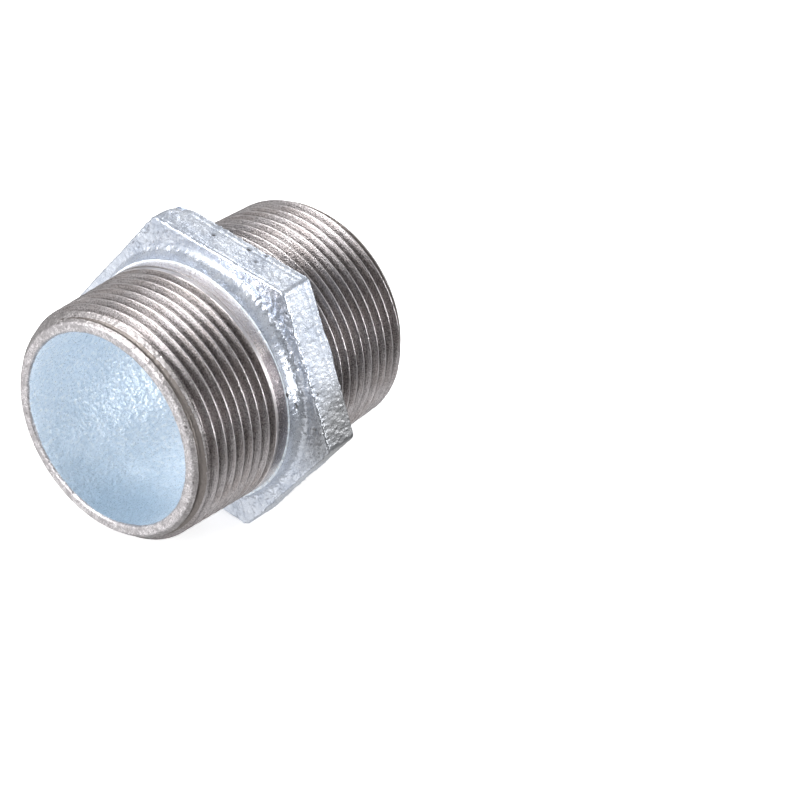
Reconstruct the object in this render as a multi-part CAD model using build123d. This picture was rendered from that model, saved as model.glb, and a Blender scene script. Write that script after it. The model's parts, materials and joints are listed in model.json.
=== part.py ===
from build123d import *
from math import atan, cos, degrees, radians
import os

# Hexagon nipple, size 1 1/2, in galvanised malleable iron.
#
# It is one casting: a straight bore through two male taper-threaded barrels, with a cast
# hexagon between them for the wrench. The axis lies along X and one hexagon flat faces
# straight down, so the nipple rests on that flat. The origin is the middle of the nipple,
# on its axis. All sizes are in millimetres.

# Overall casting
LENGTH = 61.5
BORE_DIAMETER = 39.0
BORE_CHAMFER = 0.35

# Hexagon
ACROSS_FLATS = 55.5
HEX_THICKNESS = 7.8
HEX_CORNER_RADIUS = 3.0
HEX_EDGE_RADIUS = 0.5

# Taper pipe thread R 1 1/2: its diameter is nominal at the gauge plane
PITCH = 25.4 / 11
GAUGE_DIAMETER = 47.803
GAUGE_LENGTH = 12.7
TAPER = 1 / 16
THREAD_DEPTH = 0.640327 * PITCH
CREST_WIDTH = PITCH / 6
ROOT_WIDTH = PITCH / 6

# Thread groove: it starts outside the end face and runs out before the turned land
GROOVE_START = -0.9
FULL_TURNS = 8
RUNOUT_TURNS = 2
TOOL_CLEARANCE = 0.15

# Barrel, with distances measured from its end face towards the hexagon
END_FACE_DIAMETER = 42.8
LEAD_IN_LENGTH = 2.8
LAND_END = 23.7
CAST_STEP = 0.3
COLLAR_DIAMETER = 53.2
COLLAR_HOLLOW = 0.55

HEX_FACE = (LENGTH - HEX_THICKNESS) / 2
END_CREST_RADIUS = (GAUGE_DIAMETER - GAUGE_LENGTH * TAPER) / 2


def crest_radius(distance):
    """Outer radius of the tapered barrel at a distance from its end face."""
    return END_CREST_RADIUS + distance * TAPER / 2


def barrel():
    """One plain barrel and its half of the bore, from the end face at Z 0 to the middle."""
    bore = BORE_DIAMETER / 2
    land = crest_radius(LAND_END)
    skin = land + CAST_STEP
    collar = COLLAR_DIAMETER / 2
    hollow_radius = (skin + collar) / 2 - COLLAR_HOLLOW
    hollow_distance = (LAND_END + HEX_FACE) / 2 + COLLAR_HOLLOW
    turned = Polyline(
        (bore, LENGTH / 2),
        (bore, BORE_CHAMFER),
        (bore + BORE_CHAMFER, 0),
        (END_FACE_DIAMETER / 2, 0),
        (crest_radius(LEAD_IN_LENGTH), LEAD_IN_LENGTH),
        (land, LAND_END),
        (skin, LAND_END),
    )
    cast_fillet = ThreePointArc(
        (skin, LAND_END), (hollow_radius, hollow_distance), (collar, HEX_FACE)
    )
    inside_hexagon = Polyline((collar, HEX_FACE), (collar, LENGTH / 2), (bore, LENGTH / 2))
    section = make_face(turned + cast_fillet + inside_hexagon)
    return revolve(Plane.XZ * section, Axis.Z)


def helix_on_cone(radius, start, slope):
    """One turn of a helix whose radius grows by slope along its axis."""
    angle = atan(slope)
    pitch_along_slope = PITCH / cos(angle)
    return Edge.make_helix(pitch_along_slope, PITCH, radius, (0, 0, start), angle=degrees(angle))


def groove_turn(start, lift, slope):
    """The tool for one turn of the groove, lifted out of the full thread depth by lift."""
    flank_width = (PITCH - CREST_WIDTH - ROOT_WIDTH) / 2
    root_half = ROOT_WIDTH / 2
    mouth_half = root_half + flank_width * (1 + TOOL_CLEARANCE / THREAD_DEPTH)
    mouth = crest_radius(start) + TOOL_CLEARANCE + lift
    root = crest_radius(start) - THREAD_DEPTH + lift
    corners = [(root, -root_half), (mouth, -mouth_half), (mouth, mouth_half), (root, root_half)]
    edges = [helix_on_cone(radius, start + offset, slope) for radius, offset in corners]
    faces = [Face.make_surface_from_curves(edges[i - 1], edges[i]) for i in range(len(edges))]
    faces.append(Face(Wire.make_polygon([edge @ 0 for edge in edges])))
    faces.append(Face(Wire.make_polygon([edge @ 1 for edge in edges])))
    return Solid(Shell(faces))


def groove_turns():
    """Every turn of the groove tool: full-depth turns, then turns that climb out of the metal."""
    full_slope = TAPER / 2
    lift_per_turn = (THREAD_DEPTH + TOOL_CLEARANCE) / RUNOUT_TURNS
    runout_slope = full_slope + lift_per_turn / PITCH
    runout_start = GROOVE_START + FULL_TURNS * PITCH
    full = [groove_turn(GROOVE_START + turn * PITCH, 0, full_slope) for turn in range(FULL_TURNS)]
    runout = [
        groove_turn(runout_start + turn * PITCH, turn * lift_per_turn, runout_slope)
        for turn in range(RUNOUT_TURNS)
    ]
    return full + runout


def threaded_barrel():
    """One barrel with its taper thread cut."""
    result = barrel()
    for tool in groove_turns():
        result = result - tool
    return result


def hexagon():
    """The wrench hexagon round the origin, its axis along Z and two flats across X."""
    outline = RegularPolygon(ACROSS_FLATS / 2 / cos(radians(30)), 6, rotation=30)
    prism = extrude(outline, HEX_THICKNESS / 2, both=True)
    prism = fillet(prism.edges().filter_by(Axis.Z), HEX_CORNER_RADIUS)
    rims = prism.edges().filter_by(Axis.Z, reverse=True)
    prism = fillet(rims, HEX_EDGE_RADIUS)
    return prism - Cylinder(BORE_DIAMETER / 2, HEX_THICKNESS * 2)


def hex_nipple():
    """The whole casting, with its axis along X and one flat facing down."""
    one_half = Pos(0, 0, -LENGTH / 2) * threaded_barrel()
    other_half = Rot(X=180) * one_half
    casting = one_half + other_half + hexagon()
    return Rot(Y=90) * casting


def main():
    os.makedirs("parts", exist_ok=True)
    nipple = hex_nipple()
    print(f"solids {len(nipple.solids())}, volume {nipple.volume:.0f}, valid {nipple.is_valid}")
    export_step(nipple, "parts/hex_nipple.step")


main()
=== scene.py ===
"""Galvanised hexagon pipe nipple, size 1 1/2: its looks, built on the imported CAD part.

Lengths are in millimetres while the meshes are made, and in metres in the scene. The axis of
the nipple lies along X, Z is up, and the origin is the middle of the nipple.
"""

import json
import math

import bpy
import numpy as np
from mathutils import Matrix, Vector


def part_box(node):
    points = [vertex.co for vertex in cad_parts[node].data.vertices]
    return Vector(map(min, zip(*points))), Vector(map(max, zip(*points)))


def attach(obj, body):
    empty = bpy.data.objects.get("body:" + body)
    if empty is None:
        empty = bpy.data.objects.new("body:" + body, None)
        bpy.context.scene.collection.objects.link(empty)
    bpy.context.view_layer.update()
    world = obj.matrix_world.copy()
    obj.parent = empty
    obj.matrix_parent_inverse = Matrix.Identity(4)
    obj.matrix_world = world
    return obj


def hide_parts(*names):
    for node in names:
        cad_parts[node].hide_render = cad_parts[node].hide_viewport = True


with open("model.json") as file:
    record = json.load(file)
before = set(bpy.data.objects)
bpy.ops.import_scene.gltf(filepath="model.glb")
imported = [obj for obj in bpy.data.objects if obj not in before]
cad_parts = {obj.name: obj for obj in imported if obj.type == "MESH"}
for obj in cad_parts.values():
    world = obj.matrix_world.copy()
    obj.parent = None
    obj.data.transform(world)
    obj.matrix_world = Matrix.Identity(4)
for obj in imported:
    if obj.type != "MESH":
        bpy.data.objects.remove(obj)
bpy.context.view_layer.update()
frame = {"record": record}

MM = 0.001
NODE = "hex_nipple"
BODY = "root"

# Sizes that come from the CAD part
part_low, part_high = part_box(NODE)
HALF_LENGTH = part_high.x / MM
APOTHEM = part_high.z / MM
MOUNTS = {mount["name"]: mount for mount in frame["record"]["mounts"]}
BORE_RADIUS = MOUNTS["waterway"]["dims"]["r_mm"]

# Taper thread, R 1 1/2: 55 degree flanks, with crests left sharper than the standard's
PITCH = 25.4 / 11
GAUGE_RADIUS = 47.803 / 2
GAUGE_LENGTH = 12.7
CONE_SLOPE = 1 / 32
CREST_ROUND = 0.13
ROOT_ROUND = 0.47
FLANK_ANGLE = math.radians(27.5)

# Barrel, by distance from its end face
LEAD_IN = 2.8
END_FACE_RADIUS = 21.4
FACED_END = 2.2
LAND_END = 23.7
LIP_WIDTH = 0.55
LIP_DEPTH = 0.7

# Heights of the relief in the bore, and of the blemishes on a barrel
BORE_LUMPS = 0.07
BORE_GRAIN = 0.10
GROOVE_WANDER = 0.02
NICK_DEPTH = 0.1575
BURR_HEIGHT = 0.018
TORN_DEPTH = 0.16
LEAD_IN_WAVES = 0.03
FACE_EDGE_BREAK = 0.12
FACE_RIPPLE = 0.02
LIP_PITS = 0.05

# How the groove of each barrel runs. A first crest is where a crest crosses angle zero, as a
# distance from the face at -X. A run-out is where the groove starts to lift and where it is
# gone, as distances from the barrel's own end face.
NEAR_CREST = -0.31 - 0.25 * PITCH
FAR_CREST = 0.37 - 0.25 * PITCH
NEAR_RUNOUT = (19.6, 21.8)
FAR_RUNOUT = (22.6, 24.6)

# Hexagon. It is cast with a step above the turned land, and a collar where its faces start.
HEX_HALF_THICKNESS = 3.9
HEX_CORNER_RADIUS = 1.5
HEX_EDGE_RADIUS = 0.45
COLLAR_RADIUS = 26.6
CAST_STEP = 0.42
WAVE_HEIGHT = 0.12
SAND_HEIGHT = 0.035
WRINKLE_HEIGHT = 0.40
BEAD_INSET = 0.55
BEAD_HEIGHT = 0.09
BEAD_WIDTH = 0.24
PIT_DEPTH = 0.30
PARTING_X = 2.0
PARTING_HEIGHT = 0.06
PARTING_WIDTH = 0.20
SEAM_LINE_WIDTH = 0.10
WORN_CORNER = (3.9, 16.0, 27.75)
WORN_DEPTH = 0.9
WORN_REACH = 2.6

# Marks placed as points in mm: the painted shade on the side of the near land, the dull patch at
# the lower corner of the right flat, coarser zinc whose darker colour is partly a painted dark
# reflection, and the painted shade low in the near bore
LAND_SHADE_AT = (-8.5, -23.4, 6.3)
DULL_AND_DARK_REFLECTION_AT = (3.5, -31.0, 2.0)
BORE_SHADE_AT = (-30.0, -4.0, -20.0)

# Mesh
SHARP_ANGLE = math.radians(48)
ANGLES = 720
THREAD_ROW = 0.09
BORE_ROW = 0.3
FACE_ROWS = 12
LIP_ROWS = 9
FILLET_ROWS = 26
HEX_FACE_ROWS = 16
HEX_EDGE_ROWS = 10
HEX_FLAT_ROWS = 15
angle = np.arange(ANGLES) * 2 * np.pi / ANGLES
COS = np.cos(angle)
SIN = np.sin(angle)


# ---------------------------------------------------------------- noise


def perlin(points, seed):
    """Smooth noise, about -1 to 1, at each point of an array whose last axis is x, y, z."""
    random = np.random.default_rng(seed)
    order = random.permutation(256)
    slopes = random.normal(size=(256, 3))
    slopes /= np.linalg.norm(slopes, axis=1, keepdims=True)
    cell = np.floor(points).astype(int)
    inside = points - cell
    fade = inside**3 * (inside * (inside * 6 - 15) + 10)
    total = np.zeros(points.shape[:-1])
    for corner in np.ndindex(2, 2, 2):
        at = (cell + corner) & 255
        pick = order[(order[(order[at[..., 0]] + at[..., 1]) & 255] + at[..., 2]) & 255]
        weight = np.where(np.array(corner) == 1, fade, 1 - fade).prod(axis=-1)
        total += weight * ((inside - corner) * slopes[pick]).sum(axis=-1)
    return total * 1.6


def layered(points, size, seed, layers=3):
    """Perlin noise in several octaves, where size is the length in mm of the largest lumps."""
    total = 0
    for layer in range(layers):
        total = total + perlin(points * 2**layer / size, seed + layer) / 2**layer
    return total


def smooth(value, start, end):
    """0 before start, 1 after end, and an S curve between them."""
    t = np.clip((value - start) / (end - start), 0, 1)
    return t * t * (3 - 2 * t)


def hump(offset, width):
    """1 where offset is zero, falling to nothing over a few widths on each side."""
    return np.exp(-((offset / width) ** 2))


# ---------------------------------------------------------------- grids of points


def place(x, radius):
    """Points in mm from x and radius, with a row for each x and a column for each angle."""
    x = np.broadcast_to(x, radius.shape)
    return np.stack([x, radius * COS, radius * SIN], axis=-1)


def rows(values):
    """A column of values, which spreads over the angles."""
    return np.asarray(values, float)[:, None] * np.ones(ANGLES)


def grid_normals(points, outward=1):
    """The unit normal at each point of a grid whose columns go round the axis."""
    along = np.gradient(points, axis=0)
    around = np.roll(points, -1, axis=1) - np.roll(points, 1, axis=1)
    normal = np.cross(along, around)
    normal /= np.linalg.norm(normal, axis=-1, keepdims=True) + 1e-12
    return normal * outward


def turned_over(section):
    """The same grid with its rows in the opposite order."""
    finish = np.broadcast_to(section["finish"], len(section["points"]))
    return {
        "points": section["points"][::-1],
        "depth": section["depth"][::-1],
        "finish": finish[::-1],
    }


def closed_ring(name, sections, materials):
    """A watertight ring from grids of points that follow one another round its section.

    Each section holds its points in mm, a depth value for the materials to read, and the index
    of its material, for all its rows or for each row.
    """
    points = np.concatenate([section["points"] for section in sections])
    depth = np.concatenate([section["depth"] for section in sections])
    finish = [np.broadcast_to(section["finish"], len(section["points"])) for section in sections]
    finish = np.concatenate(finish)
    count = len(points)
    index = np.arange(count * ANGLES).reshape(count, ANGLES)
    below = np.roll(index, -1, axis=0)
    beside = np.roll(index, -1, axis=1)
    faces = np.stack([index, beside, np.roll(below, -1, axis=1), below], axis=-1).reshape(-1, 4)
    mesh = bpy.data.meshes.new(name)
    mesh.vertices.add(points.size // 3)
    mesh.vertices.foreach_set("co", (points * MM).reshape(-1))
    mesh.loops.add(faces.size)
    mesh.loops.foreach_set("vertex_index", faces.reshape(-1))
    mesh.polygons.add(len(faces))
    mesh.polygons.foreach_set("loop_start", np.arange(0, faces.size, 4))
    mesh.polygons.foreach_set("material_index", np.repeat(finish, ANGLES))
    mesh.update(calc_edges=True)
    mesh.validate()
    attribute = mesh.attributes.new("depth", "FLOAT", "POINT")
    attribute.data.foreach_set("value", depth.reshape(-1).astype(np.float32))
    for material in materials:
        mesh.materials.append(material)
    mesh.shade_smooth()
    mesh.set_sharp_from_angle(angle=SHARP_ANGLE)
    ring = bpy.data.objects.new(name, mesh)
    bpy.context.collection.objects.link(ring)
    return ring


# ---------------------------------------------------------------- the bore


def bore_radius(points):
    """Radius of the rough cast bore wall at points on its plain cylinder."""
    lumps = layered(points, 9.0, 11, 2) * BORE_LUMPS
    grain = layered(points, 2.0, 17, 2) * BORE_GRAIN
    return BORE_RADIUS + lumps + grain


def bore_wall(x_values, finish):
    """The grid of the bore wall at these x values."""
    plain = place(rows(x_values), rows(np.full(len(x_values), BORE_RADIUS)))
    radius = bore_radius(plain)
    return {"points": place(rows(x_values), radius), "depth": radius * 0, "finish": finish}


# ---------------------------------------------------------------- barrels


def crest_radius(distance):
    """Radius over the thread crests at a distance from the end face."""
    return GAUGE_RADIUS + (distance - GAUGE_LENGTH) * CONE_SLOPE


def thread_depth(distance, turns):
    """Depth of the groove below the crests.

    distance is along the axis from where a crest crosses angle zero, and turns is the angle
    round the axis in turns.
    """
    along = distance / PITCH - turns
    from_crest = np.abs((along + 0.5) % 1 - 0.5) * PITCH
    from_root = PITCH / 2 - from_crest
    slope = 1 / math.tan(FLANK_ANGLE)
    crest_half = CREST_ROUND * math.cos(FLANK_ANGLE)
    root_half = ROOT_ROUND * math.cos(FLANK_ANGLE)
    crest_drop = CREST_ROUND * (1 - math.sin(FLANK_ANGLE))
    root_drop = ROOT_ROUND * (1 - math.sin(FLANK_ANGLE))
    full = crest_drop + root_drop + (PITCH / 2 - crest_half - root_half) * slope
    crest = CREST_ROUND - np.sqrt(np.maximum(CREST_ROUND**2 - from_crest**2, 0))
    root = full - ROOT_ROUND + np.sqrt(np.maximum(ROOT_ROUND**2 - from_root**2, 0))
    flank = crest_drop + (from_crest - crest_half) * slope
    return np.where(from_crest < crest_half, crest, np.where(from_root < root_half, root, flank))


FULL_DEPTH = float(thread_depth(np.array(PITCH / 2), 0))


def barrel(name, side, first_crest, runout, seed, materials):
    """One threaded barrel. side is -1 for the barrel at -X and 1 for the one at +X.

    The depth value is 0 on a crest, 1 at a root and -1 on the plain land.
    """

    def x_at(distance):
        return side * (HALF_LENGTH - distance)

    # outer surface, from the end face to the seam
    distance = np.arange(0.02, LAND_END + 0.001, THREAD_ROW)
    distance[-1] = LAND_END
    s = rows(distance)
    x = x_at(s)
    turns = angle / (2 * np.pi)
    from_near_face = x + HALF_LENGTH
    groove = thread_depth(from_near_face - first_crest, turns)
    plain = place(x, crest_radius(s))
    lift = smooth(s, *runout) * (FULL_DEPTH + 0.05)
    wander = layered(plain, 6.0, seed, 2) * GROOVE_WANDER
    groove = np.maximum(groove + wander - lift, 0)
    # nicks and fine burrs on the crests
    nicks = smooth(perlin(plain / 1.1, seed + 5), 0.50, 0.85) * NICK_DEPTH
    nicks = nicks * smooth(perlin(plain / 9.0, seed + 6), -0.05, 0.4)
    burr = layered(plain, 0.9, seed + 8, 2) * BURR_HEIGHT
    radius = crest_radius(s) - (np.maximum(groove, nicks) + burr)
    # lead-in cone, with torn metal where the thread starts and a broken outer edge
    lead = END_FACE_RADIUS + s * (crest_radius(LEAD_IN) - END_FACE_RADIUS) / LEAD_IN
    torn = np.maximum(layered(plain, 1.1, seed + 9, 3), 0) * TORN_DEPTH * smooth(s, 0.9, 2.2)
    lead = lead + layered(plain, 1.6, seed + 10, 2) * LEAD_IN_WAVES
    lead = lead - FACE_EDGE_BREAK * smooth(s, 0.25, 0.0) - torn
    cut = radius < lead
    radius = np.where(cut, radius, lead)
    depth = np.where(cut, np.clip(groove / FULL_DEPTH, 0, 1), 0.12 * smooth(s, 0.1, 0.4))
    depth = depth - smooth(s, runout[1] - 0.9, runout[1] - 0.3) * (groove < 0.02)
    finish = np.where(distance < FACED_END, 1, 0)
    outside = {"points": place(x, radius), "depth": depth, "finish": finish}
    # end face, faintly uneven
    face_radius = np.linspace(BORE_RADIUS + LIP_WIDTH, END_FACE_RADIUS - 0.2, FACE_ROWS)
    r = rows(face_radius)
    flat = place(rows(np.full(len(face_radius), x_at(0))), r)
    ripple = layered(flat, 1.2, seed + 20, 3) * FACE_RIPPLE
    face_points = flat.copy()
    face_points[..., 0] -= side * ripple
    end_face = {"points": face_points, "depth": r * 0, "finish": 1}
    # inner lip, which is a rough and uneven quarter round
    steps = np.linspace(0, np.pi / 2, LIP_ROWS)[1:-1]
    uneven = 1 + 0.35 * layered(place(rows([x_at(0)]), rows([BORE_RADIUS])), 5.0, seed + 30, 2)
    lip_s = rows(LIP_DEPTH * (1 - np.sin(steps))) * uneven
    lip_r = BORE_RADIUS + rows(LIP_WIDTH * (1 - np.cos(steps)))
    lip_points = place(x_at(lip_s), lip_r)
    pits = layered(lip_points, 1.0, seed + 33, 3) * LIP_PITS
    lip = {"points": place(x_at(lip_s), lip_r + pits), "depth": lip_r * 0, "finish": 1}
    # bore wall
    wall = np.linspace(LAND_END, LIP_DEPTH * 1.45, int((LAND_END - LIP_DEPTH) / BORE_ROW))
    inside = bore_wall(x_at(wall), 2)
    sections = [inside, lip, end_face, outside]
    if side > 0:
        sections = [turned_over(part) for part in reversed(sections)]
    return closed_ring(name, sections, materials)


# ---------------------------------------------------------------- hexagon


def hexagon_radius():
    """Distance from the axis to the hexagon's side at each angle. Two flats face up and down."""
    centre = (APOTHEM - HEX_CORNER_RADIUS) / math.cos(math.radians(30))
    sector = math.radians(60)
    from_flat = (angle - math.radians(90) + sector / 2) % sector - sector / 2
    from_corner = sector / 2 - np.abs(from_flat)
    side = APOTHEM / np.cos(from_flat)
    reach = np.maximum(HEX_CORNER_RADIUS**2 - (centre * np.sin(from_corner)) ** 2, 0)
    corner = centre * np.cos(from_corner) + np.sqrt(reach)
    tangent = math.atan((APOTHEM - HEX_CORNER_RADIUS) * math.tan(math.radians(30)) / APOTHEM)
    return np.where(np.abs(from_flat) < tangent, side, corner)


def hexagon(name, materials):
    """The cast collar between the barrels: two concave fillets and the wrench hexagon.

    The depth value is near 1 in a pit and on the dark line at the seam, and 0 elsewhere.
    """
    seam = HALF_LENGTH - LAND_END
    hex_face = HEX_HALF_THICKNESS
    side = hexagon_radius()
    skin = crest_radius(LAND_END) + CAST_STEP
    edge = HEX_EDGE_RADIUS
    # one half of the outline, from the seam to the middle: concave fillet, face, edge and flat
    turn = np.linspace(0, 1, FILLET_ROWS) * np.pi / 2
    half_x = [rows(hex_face + (seam - hex_face) * (1 - np.sin(turn)))]
    half_r = [rows(skin + (COLLAR_RADIUS - skin) * (1 - np.cos(turn)))]
    share = np.linspace(0, 1, HEX_FACE_ROWS)[1:]
    half_x.append(rows(np.full(len(share), hex_face)))
    half_r.append(COLLAR_RADIUS + share[:, None] * (side - edge - COLLAR_RADIUS))
    turn = np.linspace(0, np.pi / 2, HEX_EDGE_ROWS)[1:]
    half_x.append(rows(hex_face - edge * (1 - np.cos(turn))))
    half_r.append(side - edge * (1 - np.sin(turn))[:, None])
    flat_x = np.linspace(hex_face - edge, 0, HEX_FLAT_ROWS)[1:]
    half_x.append(rows(flat_x))
    half_r.append(np.ones(len(flat_x))[:, None] * side)
    half_x = np.concatenate(half_x)
    half_r = np.concatenate(half_r)
    # both halves
    x = np.concatenate([-half_x, half_x[-2::-1]])
    radius = np.concatenate([half_r, half_r[-2::-1]])
    plain = place(x, radius)
    normal = grid_normals(plain, -1)
    # cast skin: slow waviness, sandy grain, wrinkles in the zinc on the faces beyond the collar,
    # a bead along the edges of the flats, pits, the parting line and one worn corner
    waves = layered(plain, 10.0, 41, 2) * WAVE_HEIGHT
    sand = layered(plain, 1.7, 47, 2) * SAND_HEIGHT
    on_face = smooth(np.abs(x), hex_face - 1.0, hex_face - 0.2) * smooth(radius, 24.9, 26.2)
    wrinkle_at = plain + 0.5 * perlin(plain / 2.0, 53)[..., None]
    wrinkles = (np.abs(perlin(wrinkle_at / 1.2, 59)) - 0.3) * WRINKLE_HEIGHT * on_face
    wrinkles = wrinkles * smooth(perlin(plain / 8.0, 61), -0.3, 0.3)
    bead = BEAD_HEIGHT * hump(np.abs(x) - hex_face + BEAD_INSET, BEAD_WIDTH)
    bead = bead * smooth(radius, side - 0.35, side - 0.1)
    bead = bead * smooth(perlin(plain / 4.0, 79), -0.5, 0.2)
    pits = -PIT_DEPTH * smooth(perlin(plain / 1.5, 67), 0.55, 0.8)
    pits = pits * smooth(perlin(plain / 9.0, 71), 0.0, 0.4)
    parting = PARTING_HEIGHT * hump(x - PARTING_X - 0.15 * perlin(plain / 6.0, 73), PARTING_WIDTH)
    parting = parting * smooth(radius, side - 0.4, side - 0.1)
    worn = -WORN_DEPTH * hump(np.linalg.norm(plain - WORN_CORNER, axis=-1), WORN_REACH)
    outside = plain + normal * (waves + sand + wrinkles + bead + pits + parting + worn)[..., None]
    seam_line = 0.9 * hump(np.abs(x) - seam, SEAM_LINE_WIDTH)
    depth = np.maximum(np.clip(-pits / PIT_DEPTH, 0, 1), seam_line)
    outer = {"points": outside, "depth": depth, "finish": 0}
    wall = np.linspace(seam, -seam, int(2 * seam / BORE_ROW))
    inside = bore_wall(wall, 1)
    return closed_ring(name, [outer, inside], materials)


# ---------------------------------------------------------------- materials


class Graph:
    """The node tree of one new material."""

    def __init__(self, name):
        self.material = bpy.data.materials.new(name)
        self.material.use_nodes = True
        self.tree = self.material.node_tree
        self.tree.nodes.clear()
        position = self.add("ShaderNodeTexCoord").outputs["Object"]
        self.mm = self.vector("MULTIPLY", position, (1000, 1000, 1000))

    def add(self, kind, settings=(), **inputs):
        """A new node, with its settings, and its inputs linked or given a value by name."""
        node = self.tree.nodes.new(kind)
        for key, value in dict(settings).items():
            setattr(node, key, value)
        for key, value in inputs.items():
            self.put(node, key.replace("_", " "), value)
        return node

    def put(self, node, key, value):
        """Links or sets one input, which is given by its name, or by # and its number."""
        socket = node.inputs[int(key[1:])] if key[0] == "#" else node.inputs[key]
        if isinstance(value, bpy.types.NodeSocket):
            self.tree.links.new(value, socket)
        else:
            socket.default_value = value

    def vector(self, operation, a, b):
        node = self.add("ShaderNodeVectorMath", {"operation": operation})
        self.put(node, "#0", a)
        self.put(node, "#1", b)
        return node.outputs["Vector"]

    def math(self, operation, a, b=0.0):
        node = self.add("ShaderNodeMath", {"operation": operation})
        self.put(node, "#0", a)
        self.put(node, "#1", b)
        return node.outputs["Value"]

    def noise(self, vector, scale, detail, roughness, seed=0.0):
        """Noise of 0 to 1, whose scale is in lumps per mm."""
        moved = self.vector("ADD", vector, (seed, seed * 1.7, seed * 2.3))
        settings = {"Scale": scale, "Detail": detail, "Roughness": roughness}
        return self.add("ShaderNodeTexNoise", Vector=moved, **settings).outputs["Fac"]

    def ramp(self, value, low, high, to_low=0.0, to_high=1.0):
        """value from low to high becomes to_low to to_high, along an S curve."""
        node = self.add("ShaderNodeMapRange", {"interpolation_type": "SMOOTHSTEP"}, Value=value)
        self.put(node, "From Min", low)
        self.put(node, "From Max", high)
        self.put(node, "To Min", to_low)
        self.put(node, "To Max", to_high)
        return node.outputs["Result"]

    def mix(self, share, a, b):
        """Colour a where share is 0 and colour b where it is 1."""
        node = self.add("ShaderNodeMix", {"data_type": "RGBA"})
        self.put(node, "#0", share)
        self.put(node, "#6", (*a, 1.0) if isinstance(a, tuple) else a)
        self.put(node, "#7", (*b, 1.0) if isinstance(b, tuple) else b)
        return node.outputs[2]

    def shade(self, colour, factor):
        """colour times a grey factor."""
        node = self.add("ShaderNodeMix", {"data_type": "RGBA", "blend_type": "MULTIPLY"})
        grey = self.add("ShaderNodeCombineColor", Red=factor, Green=factor, Blue=factor)
        self.put(node, "#0", 1.0)
        self.put(node, "#6", colour)
        self.put(node, "#7", grey.outputs["Color"])
        return node.outputs[2]

    def distance(self, point):
        """Distance in mm from a point on the part."""
        node = self.add("ShaderNodeVectorMath", {"operation": "DISTANCE"})
        self.put(node, "#0", self.mm)
        self.put(node, "#1", point)
        return node.outputs["Value"]

    def depth(self):
        """The depth value that the mesh carries at each point."""
        return self.add("ShaderNodeAttribute", {"attribute_name": "depth"}).outputs["Fac"]

    def bump(self, height, distance, strength=1.0, under=None):
        """A normal roughened by a height of 0 to 1, whose full relief is distance in metres."""
        node = self.add("ShaderNodeBump", Height=height, Distance=distance, Strength=strength)
        if under is not None:
            self.put(node, "Normal", under)
        return node.outputs["Normal"]

    def finish(self, colour, roughness, normal, metallic, **more):
        """The Principled shader and the output. Constant values go straight on its sockets."""
        shader = self.add("ShaderNodeBsdfPrincipled", Roughness=roughness, Normal=normal)
        self.put(shader, "Base Color", colour)
        self.put(shader, "Metallic", metallic)
        for key, value in more.items():
            self.put(shader, key.replace("_", " "), value)
        output = self.add("ShaderNodeOutputMaterial")
        self.tree.links.new(shader.outputs["BSDF"], output.inputs["Surface"])
        return self.material


def turned_iron():
    """Bare machined iron of the threads and land: tool lines, bright crests, grainy grooves darker
    than the crests, partly as darker metal and partly as painted shade that deepens toward the
    roots, and painted shade on the side of the land."""
    g = Graph("turned_iron")
    lines = g.noise(g.vector("MULTIPLY", g.mm, (9.0, 0.10, 0.10)), 1.0, 3.0, 0.6)
    chatter = g.noise(g.vector("MULTIPLY", g.mm, (0.35, 2.6, 2.6)), 1.0, 1.0, 0.5, 13.0)
    grain = g.noise(g.mm, 3.8, 1.5, 0.5, 5.0)
    patches = g.noise(g.mm, 0.16, 2.0, 0.5, 9.0)
    depth = g.depth()
    land = g.ramp(depth, -0.1, -0.8)
    bright = g.mix(g.ramp(patches, 0.35, 0.65), (0.68, 0.65, 0.66), (0.84, 0.80, 0.81))
    bright = g.mix(land, bright, (0.78, 0.72, 0.715))
    # Painted shade on the side of the land, round a point
    land_shade = g.math("MULTIPLY", land, g.ramp(g.distance(LAND_SHADE_AT), 13.5, 11.0))
    bright = g.mix(land_shade, bright, (0.34, 0.31, 0.325))
    # The grooves are darker than the crests, partly as darker cut metal and partly as painted shade,
    # which deepens toward the roots
    flank = g.mix(g.ramp(patches, 0.40, 0.60), (0.43, 0.405, 0.41), (0.37, 0.338, 0.335))
    flank = g.mix(g.ramp(depth, 0.30, 0.95), flank, (0.36, 0.333, 0.333))
    speckle = g.ramp(grain, 0.36, 0.62, 0.58, 1.15)
    flank = g.shade(flank, speckle)
    colour = g.mix(g.ramp(depth, 0.012, 0.075), bright, flank)
    colour = g.shade(colour, g.ramp(lines, 0.35, 0.7, 0.78, 1.08))
    smoother = g.ramp(depth, -0.1, -0.8, 1.0, 0.65)
    roughness = g.math("MULTIPLY", g.ramp(grain, 0.3, 0.7, 0.28, 0.44), smoother)
    normal = g.bump(lines, 0.00005, 0.6)
    normal = g.bump(g.math("MULTIPLY", chatter, land), 0.00004, 0.8, normal)
    normal = g.bump(grain, 0.00010, 0.7, normal)
    around = g.add("ShaderNodeTangent", {"direction_type": "RADIAL", "axis": "X"})
    turned = {"Anisotropic": 0.6, "Anisotropic_Rotation": 0.25, "Tangent": around.outputs["Tangent"]}
    return g.finish(colour, roughness, normal, 1.0, **turned)


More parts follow.
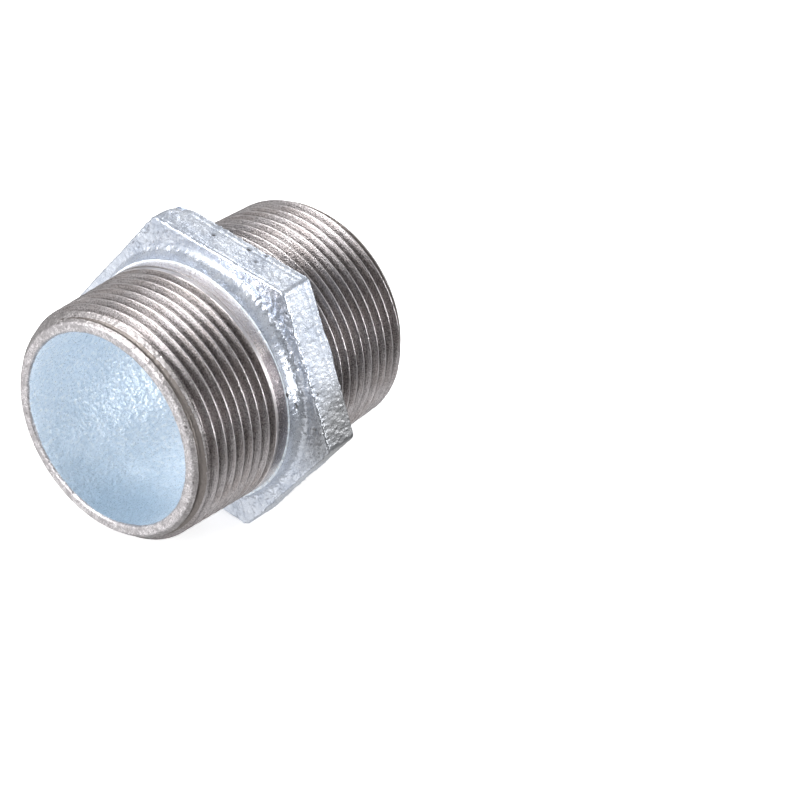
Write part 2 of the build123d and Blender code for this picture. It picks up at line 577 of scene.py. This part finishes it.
def faced_iron():
    """The turned end face and its lip: pale mottled metal with round tool marks and specks."""
    g = Graph("faced_iron")
    split = g.add("ShaderNodeSeparateXYZ", Vector=g.mm)
    y_square, z_square = (g.math("POWER", split.outputs[axis], 2.0) for axis in "YZ")
    radius = g.math("SQRT", g.math("ADD", y_square, z_square))
    across = g.add("ShaderNodeCombineXYZ", X=radius).outputs["Vector"]
    across = g.vector("MULTIPLY", across, (7.0, 0, 0))
    around = g.vector("MULTIPLY", g.mm, (0.0, 0.12, 0.12))
    rings = g.noise(g.vector("ADD", across, around), 1.0, 2.0, 0.5, 2.0)
    grain = g.noise(g.mm, 3.0, 3.0, 0.65, 3.0)
    blotches = g.noise(g.mm, 0.7, 3.0, 0.6, 4.0)
    grey = (0.36, 0.34, 0.35)
    colour = g.mix(g.ramp(grain, 0.3, 0.7), grey, (0.86, 0.83, 0.845))
    colour = g.mix(g.ramp(blotches, 0.44, 0.60, 0.0, 0.6), colour, grey)
    specks = g.ramp(g.noise(g.mm, 1.9, 2.0, 0.6, 6.0), 0.64, 0.72)
    colour = g.mix(specks, colour, (0.14, 0.13, 0.125))
    # Darker with the depth value: in the grooves partly as darker cut metal and partly as painted
    # shade, and a little on the lead-in cone
    colour = g.mix(g.ramp(g.depth(), 0.0, 0.30), colour, (0.20, 0.18, 0.17))
    roughness = g.ramp(grain, 0.3, 0.7, 0.34, 0.56)
    normal = g.bump(rings, 0.00006, 0.5)
    normal = g.bump(blotches, 0.00030, 0.8, normal)
    normal = g.bump(grain, 0.00012, 0.8, normal)
    return g.finish(colour, roughness, normal, 0.95)


def cast_zinc():
    """Hot-dip zinc over sand-cast iron: bluish white, sandy, with dark pits and a dull, coarser
    patch whose darker colour is partly a painted dark reflection.
    """
    g = Graph("cast_zinc")
    sand = g.noise(g.vector("MULTIPLY", g.mm, (0.6, 1.0, 1.0)), 1.25, 1.0, 0.4, 1.0)
    fine = g.noise(g.mm, 3.2, 1.0, 0.5, 7.0)
    clouds = g.noise(g.mm, 0.22, 3.0, 0.6, 3.0)
    colour = g.mix(g.ramp(clouds, 0.36, 0.64), (0.47, 0.515, 0.60), (0.61, 0.65, 0.725))
    colour = g.mix(g.math("MULTIPLY", g.ramp(sand, 0.55, 0.72), 0.4), colour, (0.80, 0.83, 0.88))
    colour = g.mix(g.math("MULTIPLY", g.ramp(sand, 0.38, 0.24), 0.25), colour, (0.40, 0.42, 0.47))
    colour = g.mix(g.math("MULTIPLY", g.ramp(fine, 0.38, 0.28), 0.35), colour, (0.38, 0.40, 0.45))
    colour = g.mix(g.ramp(g.depth(), 0.25, 0.8), colour, (0.13, 0.13, 0.135))
    # A dull, coarser patch at the lower corner of the right flat. Its darker colour is partly
    # rougher zinc and partly a painted dark reflection.
    dull_and_dark_reflection = g.math("ADD", g.distance(DULL_AND_DARK_REFLECTION_AT), g.math("MULTIPLY", clouds, 6.0))
    dull_and_dark_reflection = g.ramp(dull_and_dark_reflection, 19.0, 7.0)
    colour = g.mix(dull_and_dark_reflection, colour, (0.27, 0.275, 0.285))
    coarser = g.math("ADD", g.math("MULTIPLY", dull_and_dark_reflection, 1.6), 1.0)
    relief = g.math("MULTIPLY", sand, coarser)
    roughness = g.ramp(fine, 0.3, 0.7, 0.26, 0.38)
    normal = g.bump(relief, 0.00010, 1.0)
    normal = g.bump(fine, 0.00004, 1.0, normal)
    return g.finish(colour, roughness, normal, 0.8)


def bore_zinc():
    """The galvanised skin of the bore: pale sky blue, finely rough, with a painted highlight on the
    lumps of its grain, painted shade in its hollows, and painted shade low in the bore.
    """
    g = Graph("bore_zinc")
    sand = g.noise(g.vector("MULTIPLY", g.mm, (0.8, 1.0, 1.0)), 1.5, 1.0, 0.4, 21.0)
    fine = g.noise(g.mm, 4.0, 1.0, 0.5, 23.0)
    clouds = g.noise(g.mm, 0.14, 3.0, 0.6, 25.0)
    colour = g.mix(g.ramp(clouds, 0.3, 0.7), (0.75, 0.835, 0.915), (0.80, 0.875, 0.95))
    # Painted highlight on the lumps of the sand that makes the bump, and painted shade in its
    # hollows
    colour = g.mix(g.ramp(sand, 0.54, 0.74), colour, (0.92, 0.97, 1.0))
    colour = g.mix(g.math("MULTIPLY", g.ramp(sand, 0.50, 0.28), 0.40), colour, (0.50, 0.61, 0.72))
    # Painted shade, darker low in the bore near its mouth
    bore_shade = g.math("ADD", g.distance(BORE_SHADE_AT), g.math("MULTIPLY", clouds, 8.0))
    colour = g.mix(g.ramp(bore_shade, 33.0, 8.0), colour, (0.33, 0.425, 0.52))
    roughness = g.ramp(fine, 0.3, 0.7, 0.26, 0.40)
    normal = g.bump(sand, 0.00028, 1.0)
    normal = g.bump(fine, 0.00002, 1.0, normal)
    return g.finish(colour, roughness, normal, 0.3)


# ---------------------------------------------------------------- studio


# The camera stands at the photograph's viewing angle. The lens and sensor are in mm.
CAMERA_AT = Vector((-0.3653, -0.2695, 0.3352))
CAMERA_AIM = Vector((0.0192, -0.03075, 0.00013))
CAMERA_ROLL = math.radians(10.71)
CAMERA_LENS = 132.4
CAMERA_SENSOR = 36.0

# What the metal reflects: an even grey, and on it zones that are brighter or darker. Each zone
# has its direction in the camera's terms (right, up, back), the cosines where it starts and
# where it is full, and its level.
REFLECTED_GREY = 0.42
REFLECTED_ZONES = (
    ((-0.88, -0.20, 0.20), 0.60, 0.95, 1.2),
    ((0.18, 0.94, -0.29), 0.80, 0.95, 0.60),
    ((-0.22, 0.88, 0.42), 0.86, 0.96, 0.62),
    ((0.72, -0.42, -0.55), 0.80, 0.94, 0.10),
    ((0.98, 0.10, -0.10), 0.93, 0.985, 1.1),
    ((0.24, -0.28, -0.93), 0.84, 0.95, 0.62),
    ((0.08, -0.50, 0.86), 0.74, 0.87, 0.01),
    ((-0.75, -0.20, 0.63), 0.90, 0.97, 1.45),
    ((-0.30, -0.93, 0.10), 0.80, 0.96, 1.45),
    ((-0.84, -0.54, -0.07), 0.86, 0.96, 1.2),
)
WHITE = (1.0, 1.0, 1.0)

# Floor, with lengths in metres
FLOOR_REACH = 3.0
FLOOR_GAP = 0.0003
FLOOR_GREY = 0.92
FLOOR_GLOW = 0.6


def camera():
    """The scene's camera."""
    data = bpy.data.cameras.new("camera")
    data.lens = CAMERA_LENS
    data.sensor_width = CAMERA_SENSOR
    data.clip_start = 0.01
    data.clip_end = 20.0
    item = bpy.data.objects.new("camera", data)
    bpy.context.collection.objects.link(item)
    ahead = (CAMERA_AIM - CAMERA_AT).normalized()
    turn = ahead.to_track_quat("-Z", "Y").to_matrix() @ Matrix.Rotation(CAMERA_ROLL, 3, "Z")
    item.matrix_world = Matrix.Translation(CAMERA_AT) @ turn.to_4x4()
    bpy.context.scene.camera = item
    return item


def from_camera(view, right, up, back):
    """A direction in the scene, given by its parts along the camera's right, up and back."""
    return (view.matrix_world.to_3x3() @ Vector((right, up, back))).normalized()


def softbox(name, view, toward, distance, size, power, colour=WHITE):
    """A square area light that faces the nipple from a direction given in the camera's terms."""
    data = bpy.data.lights.new(name, "AREA")
    data.shape = "SQUARE"
    data.size = size
    data.energy = power
    data.color = colour
    item = bpy.data.objects.new(name, data)
    bpy.context.collection.objects.link(item)
    away = from_camera(view, *toward)
    item.location = away * distance
    item.rotation_mode = "QUATERNION"
    item.rotation_quaternion = (-away).to_track_quat("-Z", "Y")


def studio_world(view):
    """Plain white behind the part, and the grey studio of zones that lights it."""
    world = bpy.data.worlds.new("studio")
    bpy.context.scene.world = world
    world.use_nodes = True
    tree = world.node_tree
    tree.nodes.clear()

    def new(kind, **settings):
        node = tree.nodes.new(kind)
        for key, value in settings.items():
            setattr(node, key, value)
        return node

    direction = new("ShaderNodeTexCoord").outputs["Generated"]
    level = new("ShaderNodeValue").outputs[0]
    level.default_value = REFLECTED_GREY
    for toward, start, full, amount in REFLECTED_ZONES:
        dot = new("ShaderNodeVectorMath", operation="DOT_PRODUCT")
        tree.links.new(direction, dot.inputs[0])
        dot.inputs[1].default_value = from_camera(view, *toward)
        share = new("ShaderNodeMapRange", interpolation_type="SMOOTHSTEP")
        tree.links.new(dot.outputs["Value"], share.inputs["Value"])
        share.inputs["From Min"].default_value = start
        share.inputs["From Max"].default_value = full
        blend = new("ShaderNodeMix", data_type="FLOAT")
        tree.links.new(share.outputs["Result"], blend.inputs[0])
        tree.links.new(level, blend.inputs[2])
        blend.inputs[3].default_value = amount
        level = blend.outputs[0]
    lit = new("ShaderNodeBackground")
    tree.links.new(level, lit.inputs["Strength"])
    lit.inputs["Color"].default_value = (*WHITE, 1.0)
    plain = new("ShaderNodeBackground")
    plain.inputs["Color"].default_value = (*WHITE, 1.0)
    plain.inputs["Strength"].default_value = 1.0
    seen = new("ShaderNodeLightPath").outputs["Is Camera Ray"]
    both = new("ShaderNodeMixShader")
    tree.links.new(seen, both.inputs[0])
    tree.links.new(lit.outputs[0], both.inputs[1])
    tree.links.new(plain.outputs[0], both.inputs[2])
    output = new("ShaderNodeOutputWorld")
    tree.links.new(both.outputs[0], output.inputs["Surface"])


def floor():
    """A pale floor just under the lowest flat. Glossy rays pass it by."""
    mesh = bpy.data.meshes.new("floor")
    reach, z = FLOOR_REACH, -APOTHEM * MM - FLOOR_GAP
    corners = [(-reach, -reach, z), (reach, -reach, z), (reach, reach, z), (-reach, reach, z)]
    mesh.from_pydata(corners, [], [(0, 1, 2, 3)])
    item = bpy.data.objects.new("floor", mesh)
    bpy.context.collection.objects.link(item)
    material = bpy.data.materials.new("floor_paint")
    material.use_nodes = True
    shader = material.node_tree.nodes["Principled BSDF"]
    shader.inputs["Base Color"].default_value = (FLOOR_GREY, FLOOR_GREY, FLOOR_GREY, 1.0)
    shader.inputs["Roughness"].default_value = 0.9
    shader.inputs["Emission Color"].default_value = (*WHITE, 1.0)
    shader.inputs["Emission Strength"].default_value = FLOOR_GLOW
    mesh.materials.append(material)
    item.visible_glossy = False


# ---------------------------------------------------------------- build


iron, faced, zinc, bore = turned_iron(), faced_iron(), cast_zinc(), bore_zinc()
pieces = [
    barrel("barrel_a", -1, NEAR_CREST, NEAR_RUNOUT, 101, [iron, faced, bore]),
    hexagon("hexagon", [zinc, bore]),
    barrel("barrel_b", 1, FAR_CREST, FAR_RUNOUT, 211, [iron, faced, bore]),
]
for piece in pieces:
    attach(piece, BODY)
    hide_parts(NODE)

view = camera()
floor()
studio_world(view)
softbox("key_right", view, (0.80, -0.26, 0.54), 0.8, 0.24, 2.8)
softbox("rim", view, (0.92, 0.32, -0.16), 0.8, 0.35, 1.5)
softbox("key_left", view, (-0.55, 0.50, 0.66), 0.8, 0.26, 4.7, (1.0, 0.99, 0.98))
softbox("fill", view, (-0.60, 0.04, 0.78), 0.9, 0.3, 3.0)
softbox("back", view, (0.25, 0.85, -0.45), 0.8, 0.20, 0.6)
bpy.context.scene.view_settings.view_transform = "Standard"
